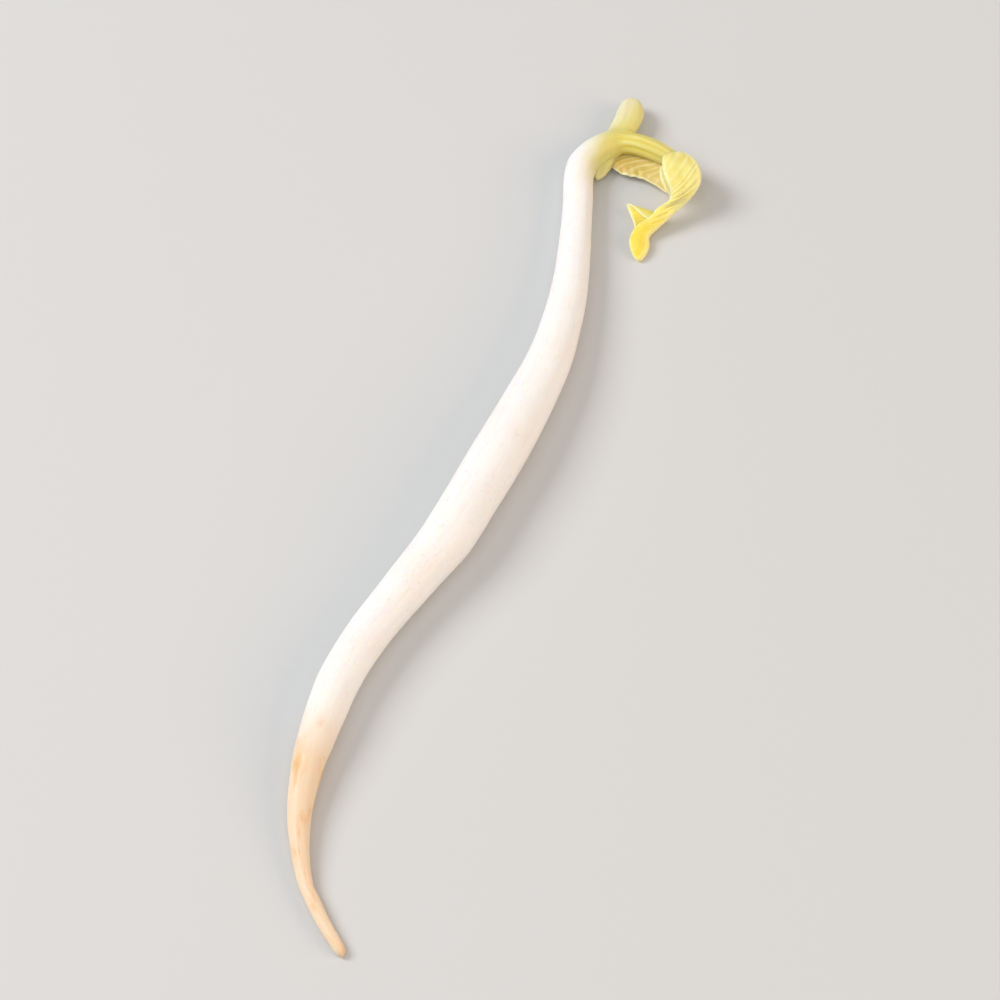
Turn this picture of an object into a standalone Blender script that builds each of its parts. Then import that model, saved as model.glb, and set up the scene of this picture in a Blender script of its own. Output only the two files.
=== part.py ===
"""A mung bean sprout, picked and laid on its side.

The sprout lies on the ground plane z = 0, along Y: the leafy head points to +Y and the root to -Y. Its
thick white stem, the hypocotyl, bends over in a crook at the head. The crook carries two seed leaves, the
cotyledons, and a thin green shoot, the epicotyl, which arches to the two first leaves and their bud.

Courses are given in millimetres in plan, with the ground at zero. Each organ is placed so that the world's
origin is on the ground under the middle of the sprout's box.
"""

import math

import bmesh
import bpy
from mathutils import Vector

MM = 0.001
COLLECTION = "mung_bean_sprout"

# The point of the plan that becomes the origin.
PLAN_ORIGIN = Vector((-2.54, -9.94, 0.0))

# Axis of the stem from the head to the root collar: x, y, radius. The stem lies on the ground all along,
# so its axis is one radius up.
HYPOCOTYL_COURSE = [
    (5.62, 20.22, 0.84),
    (5.12, 20.20, 0.92),
    (4.60, 20.00, 0.95),
    (3.96, 19.57, 0.96),
    (3.40, 18.98, 0.97),
    (2.98, 18.20, 1.00),
    (2.77, 16.90, 1.01),
    (2.71, 15.00, 1.02),
    (2.54, 12.40, 1.07),
    (2.20, 8.40, 1.20),
    (1.57, 4.80, 1.36),
    (0.56, 1.12, 1.53),
    (-0.85, -2.38, 1.69),
    (-2.48, -5.90, 1.80),
    (-4.16, -9.30, 1.78),
    (-5.88, -12.70, 1.76),
    (-7.90, -15.60, 1.59),
    (-9.83, -18.35, 1.48),
    (-11.55, -21.10, 1.43),
    (-12.92, -23.90, 1.39),
    (-13.84, -26.60, 1.30),
]

# Axis of the root from its collar to its rounded tip: x, y, radius. It lies on the ground as the stem does.
TAPROOT_COURSE = [
    (-13.91, -26.82, 1.28),
    (-14.80, -30.00, 1.08),
    (-15.28, -33.20, 0.84),
    (-15.22, -36.60, 0.59),
    (-14.56, -39.60, 0.46),
    (-13.50, -42.10, 0.40),
    (-12.60, -43.60, 0.33),
    (-12.45, -43.83, 0.20),
]

# Axis of the arched shoot: x, y, height, radius.
EPICOTYL_COURSE = [
    (6.00, 20.19, 0.99, 0.70),
    (6.46, 20.06, 1.18, 0.70),
    (7.05, 19.74, 1.40, 0.69),
    (7.75, 19.34, 1.50, 0.68),
    (8.40, 18.92, 1.54, 0.66),
    (8.98, 18.52, 1.54, 0.62),
]

# Courses of the bulb-shaped organs: x, y, height, half width, half thickness.
COTYLEDON_UPPER_COURSE = [
    (5.34, 21.22, 0.98, 0.78, 0.58),
    (5.66, 21.78, 1.02, 0.87, 0.61),
    (6.02, 22.45, 1.05, 0.92, 0.61),
    (6.32, 23.20, 1.03, 0.88, 0.56),
    (6.60, 24.12, 0.94, 0.66, 0.42),
]
COTYLEDON_LOWER_COURSE = [
    (5.16, 18.98, 0.62, 0.38, 0.34),
    (4.94, 18.50, 0.56, 0.45, 0.32),
    (4.66, 17.98, 0.50, 0.40, 0.29),
    (4.38, 17.42, 0.44, 0.28, 0.24),
]
TERMINAL_BUD_COURSE = [
    (9.36, 18.50, 1.84, 0.26, 0.24),
    (9.66, 18.50, 2.04, 0.28, 0.26),
    (10.02, 18.44, 2.16, 0.14, 0.12),
]

# Courses of the leaf blades' midribs: x, y, height, half width, tilt. The tilt turns the blade about its
# midrib, in degrees, from lying flat.
LEAF_FRONT_COURSE = [
    (9.32, 18.04, 1.58, 0.42, 20),
    (9.56, 17.35, 2.02, 1.18, 24),
    (9.72, 16.50, 2.12, 1.30, 28),
    (9.70, 15.75, 1.86, 0.98, 30),
    (9.26, 15.05, 1.38, 0.62, 20),
    (8.32, 14.32, 0.94, 0.56, 8),
    (7.42, 13.42, 0.60, 0.52, 0),
    (6.86, 12.50, 0.40, 0.54, 0),
    (6.80, 11.60, 0.27, 0.42, 0),
    (6.78, 10.98, 0.19, 0.12, 0),
]
LEAF_BACK_COURSE = [
    (9.00, 17.50, 0.74, 0.50, -18),
    (8.35, 18.02, 0.46, 1.08, -8),
    (7.35, 18.46, 0.36, 0.98, 0),
    (6.35, 18.80, 0.34, 0.74, 0),
    (5.65, 19.00, 0.34, 0.42, 0),
    (5.28, 19.10, 0.34, 0.14, 0),
]
LEAF_FRONT_THICKNESS = 0.26
LEAF_BACK_THICKNESS = 0.36
LEAF_CUPPING = 0.28

# Steps between two points of a course, and how finely each kind of surface is cut.
STEM_STEPS = 4
STEM_BEVEL_RESOLUTION = 5
BULB_SEGMENTS = 14
BULB_RINGS = 16
BULB_BASE_BLUNTNESS = 8.0
BULB_TIP_BLUNTNESS = 2.6
BLADE_ALONG = 20
BLADE_ACROSS = 6

# Colour, roughness.
FINISHES = {
    "hypocotyl": ((0.93, 0.90, 0.84), 0.35),
    "taproot": ((0.90, 0.70, 0.49), 0.50),
    "cotyledon_upper": ((0.82, 0.80, 0.42), 0.40),
    "cotyledon_lower": ((0.76, 0.70, 0.30), 0.45),
    "epicotyl": ((0.76, 0.66, 0.14), 0.35),
    "primary_leaf_front": ((0.92, 0.78, 0.22), 0.45),
    "primary_leaf_back": ((0.75, 0.55, 0.16), 0.50),
    "terminal_bud": ((0.78, 0.72, 0.20), 0.45),
}


def clear_scene():
    """Remove the objects that the scene starts with."""
    for thing in list(bpy.data.objects):
        bpy.data.objects.remove(thing, do_unlink=True)


def tissue(name):
    """The plant tissue that one organ is made of."""
    colour, roughness = FINISHES[name]
    material = bpy.data.materials.new(name)
    material.use_nodes = True
    shader = material.node_tree.nodes["Principled BSDF"]
    shader.inputs["Base Color"].default_value = (*colour, 1.0)
    shader.inputs["Roughness"].default_value = roughness
    shader.inputs["Metallic"].default_value = 0.0
    return material


def place(name, data, collection):
    """Put one organ's mesh or curve in the collection, with the plan's origin moved to the world's."""
    data.materials.append(tissue(name))
    organ = bpy.data.objects.new(name, data)
    organ.location = -PLAN_ORIGIN * MM
    collection.objects.link(organ)
    return organ


def along_course(course, t):
    """The values of a course at t, from 0 to 1, on a Catmull-Rom spline through its points."""
    spans = len(course) - 1
    span = min(int(t * spans), spans - 1)
    u = t * spans - span
    start, end = Vector(course[span]), Vector(course[span + 1])
    before = Vector(course[span - 1]) if span > 0 else 2 * start - end
    after = Vector(course[span + 2]) if span + 2 < len(course) else 2 * end - start
    slope_start, slope_end = (end - before) / 2, (after - start) / 2
    return (
        (2 * u**3 - 3 * u**2 + 1) * start
        + (u**3 - 2 * u**2 + u) * slope_start
        + (3 * u**2 - 2 * u**3) * end
        + (u**3 - u**2) * slope_end
    )


def axis_frame(course, t, upward):
    """The axis point at t with the unit vectors along the course, across it and square to both."""
    step = 0.01
    ahead = along_course(course, min(t + step, 1.0))[:3]
    behind = along_course(course, max(t - step, 0.0))[:3]
    along = (Vector(ahead) - Vector(behind)).normalized()
    across = along.cross(upward).normalized()
    return Vector(along_course(course, t)[:3]), along, across, across.cross(along)


def on_ground(course):
    """The course of a stem that lies on the ground: its axis is one radius up."""
    return [(x, y, radius, radius) for x, y, radius in course]


def tube(name, course, collection):
    """A round stem: a curve with filled caps, whose radius follows the course."""
    count = (len(course) - 1) * STEM_STEPS
    curve = bpy.data.curves.new(name, "CURVE")
    curve.dimensions = "3D"
    curve.bevel_depth = MM
    curve.bevel_resolution = STEM_BEVEL_RESOLUTION
    curve.use_fill_caps = True
    curve.render_resolution_u = 0
    spline = curve.splines.new("POLY")
    spline.points.add(count)
    for step, point in enumerate(spline.points):
        x, y, height, radius = along_course(course, step / count)
        point.co = (x * MM, y * MM, height * MM, 1.0)
        point.radius = radius
    spline.use_smooth = True
    return place(name, curve, collection)


def swept_bulb(name, course, collection, upward=Vector((0, 0, 1))):
    """A closed, blunt-ended organ: a UV sphere drawn out along its course, wider than it is thick."""
    mesh = bpy.data.meshes.new(name)
    shape = bmesh.new()
    bmesh.ops.create_uvsphere(shape, u_segments=BULB_SEGMENTS, v_segments=BULB_RINGS, radius=1.0)
    for vert in shape.verts:
        height = max(-1.0, min(1.0, vert.co.z))
        t = (1 + height) / 2
        centre, _, across, square = axis_frame(course, t, upward)
        half_width, half_thickness = along_course(course, t)[3:5]
        bluntness = BULB_BASE_BLUNTNESS if height < 0 else BULB_TIP_BLUNTNESS
        fullness = max(0.0, 1 - abs(height) ** bluntness) ** (1 / bluntness)
        angle = math.atan2(vert.co.y, vert.co.x)
        offset = across * (half_width * math.cos(angle)) - square * (half_thickness * math.sin(angle))
        vert.co = (centre + offset * fullness) * MM
    shape.to_mesh(mesh)
    shape.free()
    mesh.shade_smooth()
    return place(name, mesh, collection)


def leaf_blade(name, course, thickness, collection):
    """A cupped leaf blade: a grid laid out along the midrib's course and given its thickness."""
    mesh = bpy.data.meshes.new(name)
    blade = bmesh.new()
    bmesh.ops.create_grid(blade, x_segments=BLADE_ACROSS, y_segments=BLADE_ALONG, size=1.0)
    for vert in blade.verts:
        side, t = vert.co.x, (1 + vert.co.y) / 2
        centre, _, across, square = axis_frame(course, t, Vector((0, 0, 1)))
        half_width, tilt = along_course(course, t)[3:5]
        tilt = math.radians(tilt)
        lateral = across * math.cos(tilt) + square * math.sin(tilt)
        normal = square * math.cos(tilt) - across * math.sin(tilt)
        rise = LEAF_CUPPING * half_width * side**2
        vert.co = (centre + lateral * (half_width * side) + normal * rise) * MM
    blade.to_mesh(mesh)
    blade.free()
    mesh.shade_smooth()
    leaf = place(name, mesh, collection)
    shell = leaf.modifiers.new("thickness", "SOLIDIFY")
    shell.thickness = thickness * MM
    shell.offset = 0.0
    return leaf


def build_sprout():
    """Model every organ of the sprout."""
    clear_scene()
    sprout = bpy.data.collections.new(COLLECTION)
    bpy.context.scene.collection.children.link(sprout)
    tube("hypocotyl", on_ground(HYPOCOTYL_COURSE), sprout)
    tube("taproot", on_ground(TAPROOT_COURSE), sprout)
    tube("epicotyl", EPICOTYL_COURSE, sprout)
    swept_bulb("cotyledon_upper", COTYLEDON_UPPER_COURSE, sprout)
    swept_bulb("cotyledon_lower", COTYLEDON_LOWER_COURSE, sprout)
    swept_bulb("terminal_bud", TERMINAL_BUD_COURSE, sprout)
    leaf_blade("primary_leaf_front", LEAF_FRONT_COURSE, LEAF_FRONT_THICKNESS, sprout)
    leaf_blade("primary_leaf_back", LEAF_BACK_COURSE, LEAF_BACK_THICKNESS, sprout)


build_sprout()
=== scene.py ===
"""A mung bean sprout lying on a pale floor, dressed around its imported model.

The fleshy organs (stem, root, seed leaves and shoot) are limbs: oval sections that follow a course. Their
skins are welded into one another, so that they meet in soft hollows as grown tissue does. The leaves are
folded blades that hang between rails. Lengths are in plan millimetres until a mesh is placed in the frame.
"""

import logging
import math
from dataclasses import dataclass, fields
from enum import Enum
from functools import cached_property

import bpy
import numpy as np
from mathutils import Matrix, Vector


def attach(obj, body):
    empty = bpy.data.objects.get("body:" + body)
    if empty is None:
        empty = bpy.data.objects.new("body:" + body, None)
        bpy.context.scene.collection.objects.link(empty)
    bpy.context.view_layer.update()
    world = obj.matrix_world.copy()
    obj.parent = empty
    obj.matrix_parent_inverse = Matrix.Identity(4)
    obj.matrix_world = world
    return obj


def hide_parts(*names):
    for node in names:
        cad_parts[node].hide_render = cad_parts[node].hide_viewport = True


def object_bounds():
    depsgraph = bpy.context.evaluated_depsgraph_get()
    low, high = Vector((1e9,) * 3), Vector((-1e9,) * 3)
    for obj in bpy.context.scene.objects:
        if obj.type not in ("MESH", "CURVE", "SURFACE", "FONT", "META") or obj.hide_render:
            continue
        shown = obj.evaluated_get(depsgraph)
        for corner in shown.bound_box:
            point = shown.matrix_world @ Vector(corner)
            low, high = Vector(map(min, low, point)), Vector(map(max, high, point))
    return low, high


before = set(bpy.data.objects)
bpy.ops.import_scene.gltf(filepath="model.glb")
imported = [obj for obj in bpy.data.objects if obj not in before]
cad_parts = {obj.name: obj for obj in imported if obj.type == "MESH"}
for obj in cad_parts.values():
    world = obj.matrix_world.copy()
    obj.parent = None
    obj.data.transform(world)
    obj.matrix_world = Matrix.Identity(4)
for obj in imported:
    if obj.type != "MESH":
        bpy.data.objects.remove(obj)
CAD_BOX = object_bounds()

MM = 0.001
TINY = 1e-9
UP = (0.0, 0.0, 1.0)
ROOT_BODY = "root"
log = logging.getLogger("sprout")

Pair = tuple[float, float]
Triple = tuple[float, float, float]
Colour = tuple[float, float, float]
Stations = tuple[tuple[float, ...], ...]


class Slot(Enum):
    """The record's material slots. Each piece names one, but makes its own finish."""

    STEM = "stem_white"
    SEED_LEAF = "seed_leaf_green"
    SHOOT = "shoot_green"
    LEAF = "leaf_yellow"


# --- Node trees ------------------------------------------------------------------------------------------


class Number:
    """A number in a node tree. Arithmetic on it adds Math nodes."""

    def __init__(self, tree: "Tree", socket: bpy.types.NodeSocket) -> None:
        """Wrap one output socket of a tree."""
        self.tree = tree
        self.socket = socket

    def __add__(self, other: "Operand") -> "Number":
        """Self + other."""
        return self.tree.math("ADD", self, other)

    def __sub__(self, other: "Operand") -> "Number":
        """Self - other."""
        return self.tree.math("SUBTRACT", self, other)

    def __rsub__(self, other: "Operand") -> "Number":
        """Other - self."""
        return self.tree.math("SUBTRACT", other, self)

    def __mul__(self, other: "Operand") -> "Number":
        """Self * other."""
        return self.tree.math("MULTIPLY", self, other)

    __radd__ = __add__
    __rmul__ = __mul__

    def __abs__(self) -> "Number":
        """The number without its sign."""
        return self.tree.math("ABSOLUTE", self)

    def sine(self) -> "Number":
        """The sine of a number in radians."""
        return self.tree.math("SINE", self)

    def cosine(self) -> "Number":
        """The cosine of a number in radians."""
        return self.tree.math("COSINE", self)

    def clamped(self) -> "Number":
        """The number held between 0 and 1."""
        return self.tree.math("MINIMUM", self.tree.math("MAXIMUM", self, 0.0), 1.0)

    def ramped(self, low: "Operand", high: "Operand") -> "Number":
        """A smooth step of the number.

        Args:
            low: the number at which the step leaves 0.
            high: the number at which it reaches 1.

        Returns:
            The step's value.
        """
        sockets = {"Value": self, "From Min": low, "From Max": high}
        node = self.tree.node("ShaderNodeMapRange", {"interpolation_type": "SMOOTHSTEP"}, sockets)
        return self.tree.number(node, "Result")


Operand = Number | float


class Tree:
    """Adds nodes and links to one node tree.

    The Mix node's colour sockets share their names with its other sockets, so they go by their index.
    """

    MIX_SHARE, MIX_FIRST, MIX_SECOND = 0, 6, 7
    MIX_RESULT = 2

    def __init__(self, node_tree: bpy.types.NodeTree) -> None:
        """Take the tree to add to."""
        self.node_tree = node_tree

    def node(self, kind: str, settings: dict | None = None, sockets: dict | None = None) -> bpy.types.Node:
        """Add one node.

        Args:
            kind: the node's type.
            settings: its properties, such as a Math node's operation. They are set first.
            sockets: its inputs by name or index, each a value or something to link from.

        Returns:
            The new node.
        """
        node = self.node_tree.nodes.new(kind)
        for name, value in (settings or {}).items():
            setattr(node, name, value)
        for key, value in (sockets or {}).items():
            self.feed(node.inputs[key], value)
        return node

    def feed(self, socket: bpy.types.NodeSocket, value: object) -> None:
        """Link a socket from another, or give it a value.

        Args:
            socket: the input socket.
            value: a number or a socket to link from, a colour, or a plain value.
        """
        if isinstance(value, Number):
            value = value.socket
        if isinstance(value, bpy.types.NodeSocket):
            self.node_tree.links.new(value, socket)
        elif isinstance(value, tuple) and socket.type == "RGBA":
            socket.default_value = (*value, 1.0)
        else:
            socket.default_value = value

    def number(self, node: bpy.types.Node, output: str | int = 0) -> Number:
        """One output of a node, as a number."""
        return Number(self, node.outputs[output])

    def math(self, operation: str, *operands: Operand) -> Number:
        """Add one Math node."""
        return self.number(self.node("ShaderNodeMath", {"operation": operation}, dict(enumerate(operands))))

    def attribute(self, name: str) -> Number:
        """A named number of the mesh that wears the material."""
        return self.number(self.node("ShaderNodeAttribute", {"attribute_name": name}), "Fac")

    def mixed(
        self, share: Operand, first: object, second: object, blend: str = "MIX"
    ) -> bpy.types.NodeSocket:
        """Mix two colours.

        Args:
            share: how much of the second, 0 to 1.
            first: a colour or a colour socket.
            second: a colour or a colour socket.
            blend: the Mix node's blend type.

        Returns:
            The mixed colour's socket.
        """
        sockets = {self.MIX_SHARE: share, self.MIX_FIRST: first, self.MIX_SECOND: second}
        node = self.node("ShaderNodeMix", {"data_type": "RGBA", "blend_type": blend}, sockets)
        return node.outputs[self.MIX_RESULT]

    def vector_math(self, operation: str, first: object, second: object) -> bpy.types.NodeSocket:
        """Work on two vectors, part by part."""
        return self.node("ShaderNodeVectorMath", {"operation": operation}, {0: first, 1: second}).outputs[0]

    def combined(self, x: Operand, y: Operand, z: Operand) -> bpy.types.NodeSocket:
        """A vector of three numbers."""
        return self.node("ShaderNodeCombineXYZ", {}, {"X": x, "Y": y, "Z": z}).outputs["Vector"]


# --- Finishes --------------------------------------------------------------------------------------------


@dataclass(frozen=True)
class Clouds:
    """A soft random pattern, with so many waves to a unit of each coordinate."""

    waves: Triple = (1.0, 1.0, 1.0)
    detail: float = 2.0
    roughness: float = 0.5

    def read(self, tree: Tree, place: object) -> Number:
        """Add the pattern to a tree.

        Args:
            tree: the tree.
            place: the vector that the pattern is read at.

        Returns:
            The pattern's value, about 0 to 1.
        """
        waves = tree.vector_math("MULTIPLY", place, self.waves)
        sockets = {"Vector": waves, "Scale": 1.0, "Detail": self.detail, "Roughness": self.roughness}
        return tree.number(tree.node("ShaderNodeTexNoise", {}, sockets))


@dataclass(frozen=True)
class Layer:
    """The values of a pattern between which something comes in, and the share that it comes in to."""

    low: float
    high: float
    share: float = 1.0

    def over(self, pattern: Number) -> Number:
        """The layer's share all over a pattern."""
        return pattern.ramped(self.low, self.high) * self.share


@dataclass(frozen=True)
class Gloss:
    """What the light does on a tissue's surface and inside it. These values are the same all over."""

    subsurface: float = 0.6
    scatter: Triple = (1.0, 0.62, 0.35)
    scatter_depth: float = 0.5 * MM
    coat: float = 0.12
    coat_roughness: float = 0.18
    ior: float = 1.4

    def dress(self, shader: bpy.types.Node) -> None:
        """Set the values on a shader's own sockets.

        Args:
            shader: the Principled node.
        """
        shader.inputs["Subsurface Weight"].default_value = self.subsurface
        shader.inputs["Subsurface Radius"].default_value = self.scatter
        shader.inputs["Subsurface Scale"].default_value = self.scatter_depth
        shader.inputs["Coat Weight"].default_value = self.coat
        shader.inputs["Coat Roughness"].default_value = self.coat_roughness
        shader.inputs["IOR"].default_value = self.ior


class Surface:
    """A new material with one Principled shader."""

    def __init__(self, name: str, gloss: Gloss | None = None) -> None:
        """Start the material.

        Args:
            name: its name.
            gloss: what the light does in it, where that isn't plain.
        """
        self.material = bpy.data.materials.new(name)
        self.material.use_nodes = True
        self.tree = Tree(self.material.node_tree)
        self.shader = self.material.node_tree.nodes["Principled BSDF"]
        self.place = self.tree.node("ShaderNodeTexCoord").outputs["Object"]
        if gloss:
            gloss.dress(self.shader)

    def paint(self, colour: object, roughness: Operand, height: Number, bump: Pair) -> bpy.types.Material:
        """Feed the shader what changes over the surface.

        Args:
            colour: the base colour or its socket.
            roughness: the roughness.
            height: how far the surface stands out, in parts of the bump's depth.
            bump: the bump's strength, and its depth in metres.

        Returns:
            The finished material.
        """
        sockets = {"Strength": bump[0], "Distance": bump[1], "Height": height}
        normal = self.tree.node("ShaderNodeBump", {}, sockets).outputs["Normal"]
        for name, value in (("Base Color", colour), ("Roughness", roughness), ("Normal", normal)):
            self.tree.feed(self.shader.inputs[name], value)
        return self.material


@dataclass(frozen=True)
class FleshFinish:
    """Moist, translucent flesh. Its tint follows the skin's own attributes.

    The attribute "green" turns the white flesh pale green and then yellow-green, "tan" turns it to root
    bark, "fibre" runs along the organ, and "relief" says how far a rib stands out.
    """

    name: str
    gloss: Gloss = Gloss()
    white: Colour = (0.915, 0.905, 0.895)
    warm: Colour = (0.90, 0.79, 0.69)
    speck: Colour = (0.64, 0.61, 0.58)
    pale_green: Colour = (0.75, 0.685, 0.27)
    yellow_green: Colour = (0.735, 0.63, 0.115)
    bark: Colour = (0.82, 0.51, 0.25)
    bark_pale: Colour = (0.85, 0.67, 0.48)
    bark_brown: Colour = (0.56, 0.32, 0.14)

    fine_fibres: Clouds = Clouds((20.0, 20.0, 0.6), 3.0, 0.6)
    broad_fibres: Clouds = Clouds((4.5, 4.5, 0.16))
    blotches: Clouds = Clouds((1.1, 1.1, 0.42), 3.0)
    specks: Clouds = Clouds((8.5, 8.5, 3.6), 2.0, 0.6)
    flecks: Clouds = Clouds((5.0, 5.0, 1.5), 1.0)
    mottle: Clouds = Clouds((260.0, 260.0, 260.0), 3.0, 0.55)
    grain: Clouds = Clouds((9000.0, 9000.0, 9000.0))

    warm_mottle: Layer = Layer(0.46, 0.72, 0.24)
    warm_fibres: Layer = Layer(0.48, 0.78, 0.26)
    warm_threads: Layer = Layer(0.45, 0.75, 0.22)
    fleck_edge: Layer = Layer(0.72, 0.80, 0.35)
    speck_edge: Layer = Layer(0.55, 0.76)
    speck_clusters: Layer = Layer(0.40, 0.62)
    speck_share: float = 0.36
    speckless_green: float = 0.25
    pale_green_at: float = 0.55
    yellowing: Layer = Layer(0.42, 0.90)
    rib_paleness: Pair = (0.50, 0.24)
    bark_blotches: Layer = Layer(0.50, 0.72)
    bark_stains: Layer = Layer(0.68, 0.84, 0.30)
    bark_threads: Layer = Layer(0.50, 0.80, 0.10)
    bark_raggedness: float = 2.0

    roughness: float = 0.34
    thread_roughness: float = 0.10
    bark_roughness: float = 0.16
    bump: Pair = (0.55, 0.030 * MM)
    thread_height: float = 0.9
    grain_height: float = 0.2
    speck_height: float = -0.9
    bark_height: float = 0.8
    mottle_height: float = 0.8

    def make(self) -> bpy.types.Material:
        """Build the material.

        Returns:
            The material.
        """
        surface = Surface(self.name, self.gloss)
        tree = surface.tree
        fibre = tree.node("ShaderNodeAttribute", {"attribute_name": "fibre"}).outputs["Vector"]
        green, tan, relief = (tree.attribute(name) for name in ("green", "tan", "relief"))
        threads = self.fine_fibres.read(tree, fibre)
        blotch = self.blotches.read(tree, fibre)
        mottle = self.mottle.read(tree, surface.place)
        bark, past_green = self._bark(tree, tan, blotch, threads)

        specks = self.speck_edge.over(self.specks.read(tree, fibre)) * self.speck_clusters.over(blotch)
        specks = specks * (1.0 - (green * (1.0 / self.speckless_green)).clamped())
        broad = self.broad_fibres.read(tree, fibre)
        warmth = self.warm_mottle.over(mottle) + self.warm_fibres.over(broad)
        flesh = tree.mixed(warmth, self.white, self.warm)
        flesh = tree.mixed(self.fleck_edge.over(self.flecks.read(tree, fibre)), flesh, self.bark)
        flesh = tree.mixed(specks * self.speck_share, flesh, self.speck)
        flesh = tree.mixed((green * (1.0 / self.pale_green_at)).clamped(), flesh, self.pale_green)
        crest, base = self.rib_paleness
        deep = tree.mixed((relief * crest + base).clamped(), self.yellow_green, self.pale_green)
        flesh = tree.mixed(self.yellowing.over(green), flesh, deep)
        flesh = tree.mixed(self.warm_threads.over(threads), flesh, self.warm, "MULTIPLY")

        rough = self.roughness + threads * self.thread_roughness + past_green * self.bark_roughness
        height = threads * self.thread_height + specks * self.speck_height + mottle * self.mottle_height
        height = height + self.grain.read(tree, surface.place) * self.grain_height
        height = height + blotch * past_green * self.bark_height
        return surface.paint(tree.mixed(past_green, flesh, bark), rough, height, self.bump)

    def _bark(
        self, tree: Tree, tan: Number, blotch: Number, threads: Number
    ) -> tuple[bpy.types.NodeSocket, Number]:
        """The root's bark.

        Args:
            tree: the material's tree.
            tan: how far the skin has turned to bark.
            blotch: the blotches' pattern.
            threads: the fine fibres' pattern.

        Returns:
            The bark's colour, and how much of it covers the flesh. Blotches make its edge ragged.
        """
        bark = tree.mixed(self.bark_blotches.over(blotch), self.bark_pale, self.bark)
        bark = tree.mixed(self.bark_stains.over(blotch), bark, self.bark_brown)
        bark = tree.mixed(self.bark_threads.over(threads), bark, self.bark_brown)
        at_edge = tan * (1.0 - tan) * self.bark_raggedness
        return bark, (tan + (blotch - 0.5) * at_edge).clamped()


@dataclass(frozen=True)
class BladeFinish:
    """A thin translucent leaf blade.

    The attribute "vein" is 1 on a vein, "rim" is 1 at the margin, and "ripe" turns the
    lemon blade to a deep yellow, partly the blade's own colour and partly painted shade.
    """

    name: str
    lemon: Colour = (0.905, 0.80, 0.28)
    # The deep yellow that the blade turns to; on the back leaf it is painted shade.
    deep: Colour = (0.67, 0.475, 0.13)
    pale: Colour = (0.96, 0.90, 0.56)
    shade: Colour = (0.72, 0.55, 0.08)
    gloss: Gloss = Gloss(subsurface=0.55, scatter=(1.0, 0.75, 0.25), scatter_depth=0.35 * MM, coat=0.05)

    mottle: Clouds = Clouds((900.0, 900.0, 900.0), 3.0, 0.6)
    mottle_shade: Layer = Layer(0.42, 0.70, 0.42)
    net_cells: float = 5200.0
    net_line: Pair = (0.02, 0.16)
    net_share: float = 0.05
    vein_share: float = 0.50
    rim_share: float = 0.75

    roughness: float = 0.42
    mottle_roughness: float = 0.12
    bump: Pair = (0.6, 0.010 * MM)
    net_height: float = -0.18
    mottle_height: float = 0.8

    def make(self) -> bpy.types.Material:
        """Build the material.

        Returns:
            The material.
        """
        surface = Surface(self.name, self.gloss)
        tree = surface.tree
        vein, rim, ripe = (tree.attribute(name) for name in ("vein", "rim", "ripe"))
        mottle = self.mottle.read(tree, surface.place)
        sockets = {"Vector": surface.place, "Scale": self.net_cells}
        cells = tree.node("ShaderNodeTexVoronoi", {"feature": "DISTANCE_TO_EDGE"}, sockets)
        net = 1.0 - tree.number(cells, "Distance").ramped(*self.net_line)

        # The deep yellow is partly the blade's own colour and partly painted shade.
        blade = tree.mixed(ripe, self.lemon, self.deep)
        blade = tree.mixed(self.mottle_shade.over(mottle), blade, self.shade)
        blade = tree.mixed(net * self.net_share, blade, self.pale)
        blade = tree.mixed((vein * self.vein_share + rim * self.rim_share).clamped(), blade, self.pale)
        rough = self.roughness + mottle * self.mottle_roughness
        return surface.paint(blade, rough, net * self.net_height + mottle * self.mottle_height, self.bump)


@dataclass(frozen=True)
class FloorFinish:
    """Plain matt board with the faintest tooth."""

    colour: Colour = (0.62, 0.625, 0.63)
    tooth: Clouds = Clouds((900.0, 900.0, 900.0), 3.0)
    roughness: float = 0.75
    tooth_roughness: float = 0.1
    bump: Pair = (0.1, 0.05 * MM)

    def make(self) -> bpy.types.Material:
        """Build the material.

        Returns:
            The material.
        """
        surface = Surface("floor")
        tooth = self.tooth.read(surface.tree, surface.place)
        return surface.paint(self.colour, self.roughness + tooth * self.tooth_roughness, tooth, self.bump)


# --- Shapes ----------------------------------------------------------------------------------------------


def smooth_step(values: np.ndarray, low: float, high: float) -> np.ndarray:
    """A smooth step from 0 at low to 1 at high."""
    share = np.clip((values - low) / (high - low), 0.0, 1.0)
    return share * share * (3.0 - 2.0 * share)


def unit(vectors: np.ndarray) -> np.ndarray:
    """Rows of vectors, each scaled to a length of one."""
    return vectors / np.maximum(np.linalg.norm(vectors, axis=-1, keepdims=True), TINY)


@dataclass(frozen=True)
class Plan:
    """The millimetre plan that the organs are drawn on, and its place in the frame."""

    middle: Pair = (-2.54, -9.94)

    def origin(self) -> np.ndarray:
        """The frame's origin on the plan.

        Returns:
            Its place in plan millimetres. The plan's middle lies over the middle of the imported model.
        """
        low, high = (np.array(corner) / MM for corner in CAD_BOX)
        centre = (low + high) / 2
        return np.array([self.middle[0] - centre[0], self.middle[1] - centre[1], -low[2]])

    def to_frame(self, points: np.ndarray) -> np.ndarray:
        """Plan millimetres to metres in the frame."""
        return (points - self.origin()) * MM

    def from_frame(self, points: np.ndarray) -> np.ndarray:
        """Metres in the frame to plan millimetres."""
        return points / MM + self.origin()


PLAN = Plan()


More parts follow.
